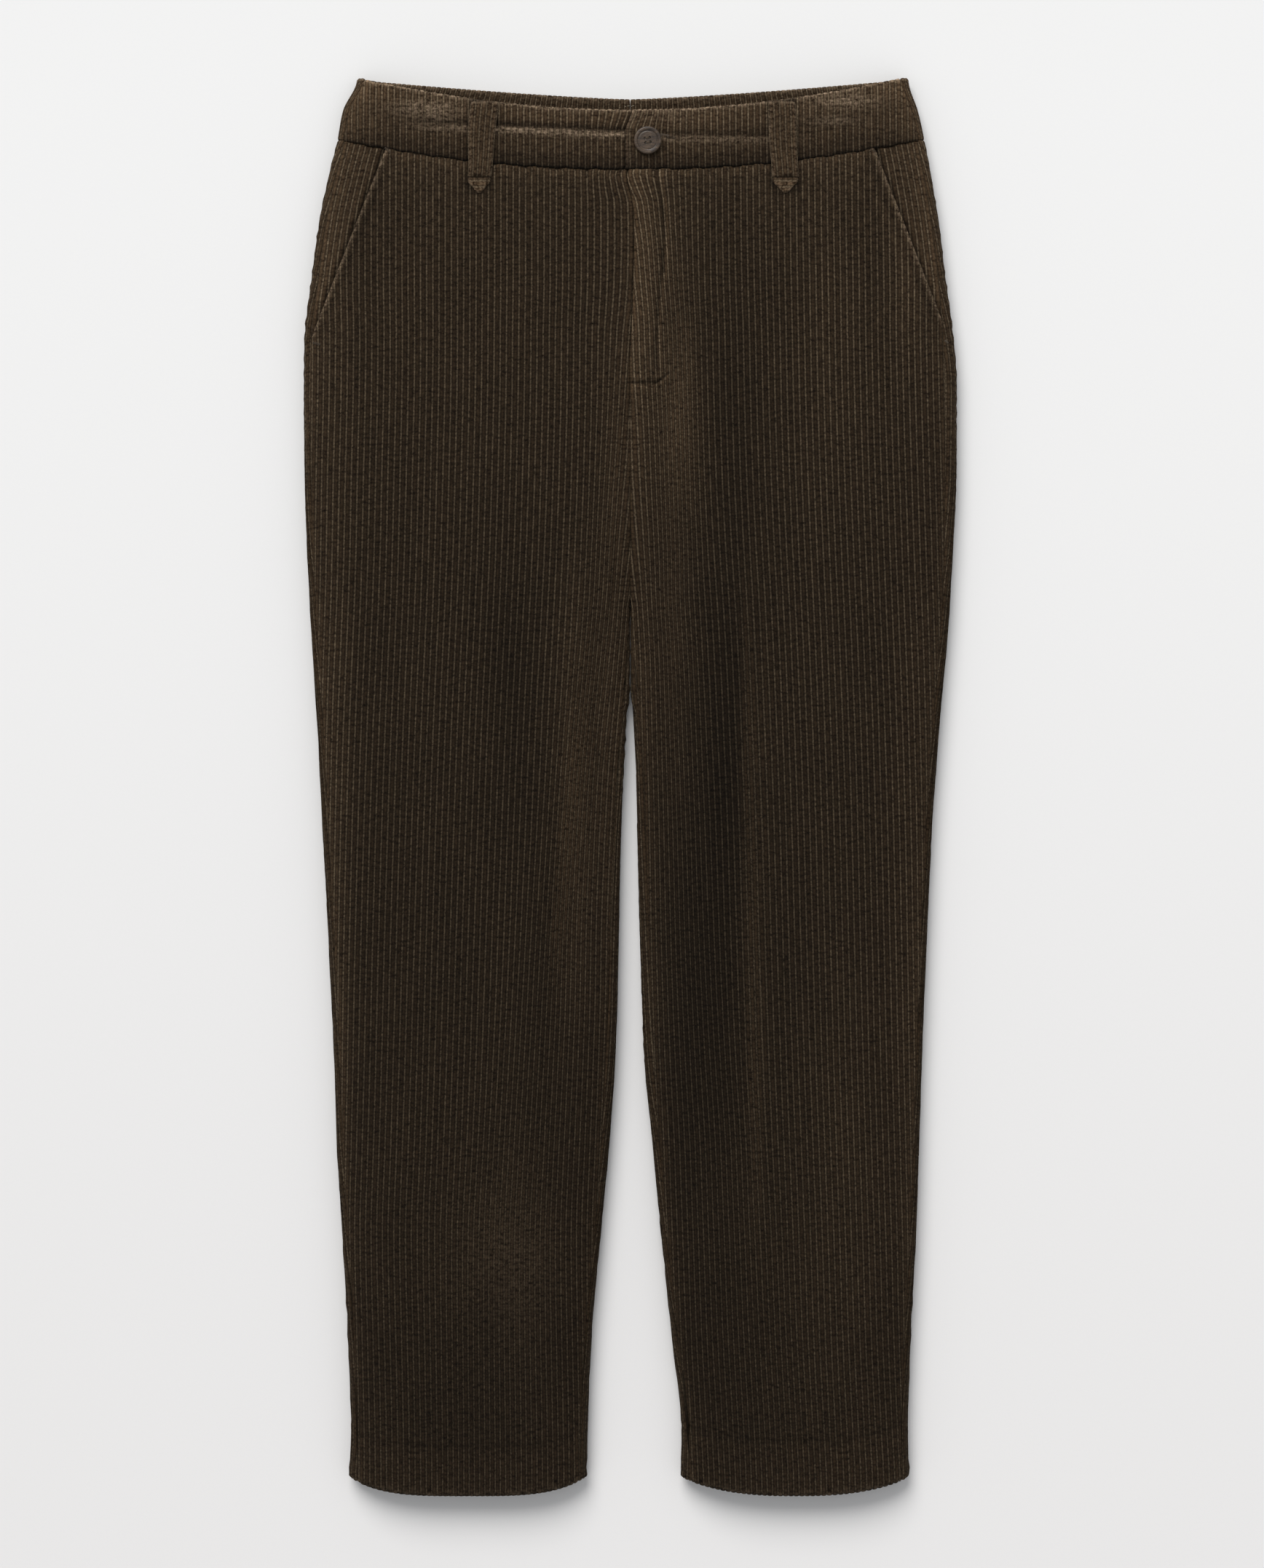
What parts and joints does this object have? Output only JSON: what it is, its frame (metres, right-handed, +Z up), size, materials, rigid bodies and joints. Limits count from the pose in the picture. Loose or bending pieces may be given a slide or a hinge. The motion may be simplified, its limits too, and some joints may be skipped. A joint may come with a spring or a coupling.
{
  "type": "corduroy trousers",
  "caption": "Ankle-length ribbed corduroy trousers laid flat, front up, with slant pockets, a fly fold, a waistband lapped and buttoned in front, belt loops and open tubular legs",
  "frame": {"origin": "the centre of the garment's outline, on the surface that it lies on", "axes": "+X to the wearer's left, +Y from the hems to the waist, +Z up from the surface through the back panels and the front"},
  "size_m": [0.4506, 0.9761, 0.0294],
  "materials": {
    "panel_cloth": "dark olive brown cotton corduroy, wide wales, soft sheen on the pile",
    "band_cloth": "the same corduroy, doubled and stiffened",
    "pocket_cloth": "the same corduroy inside the pocket's mouth",
    "loop_cloth": "the same corduroy, worn a little lighter",
    "horn": "dark brown horn, turned and polished"
  },
  "bodies": {
    "root": {"front_right": "panel_cloth", "front_left": "panel_cloth", "back_right": "panel_cloth", "back_left": "panel_cloth", "pocket_bearer_right": "pocket_cloth", "pocket_bearer_left": "pocket_cloth", "waistband_front_right": "band_cloth", "waistband_front_left": "band_cloth", "waistband_back_right": "band_cloth", "waistband_back_left": "band_cloth", "belt_loop_right": "loop_cloth", "belt_loop_left": "loop_cloth", "button": "horn"}
  },
  "joints": []
}
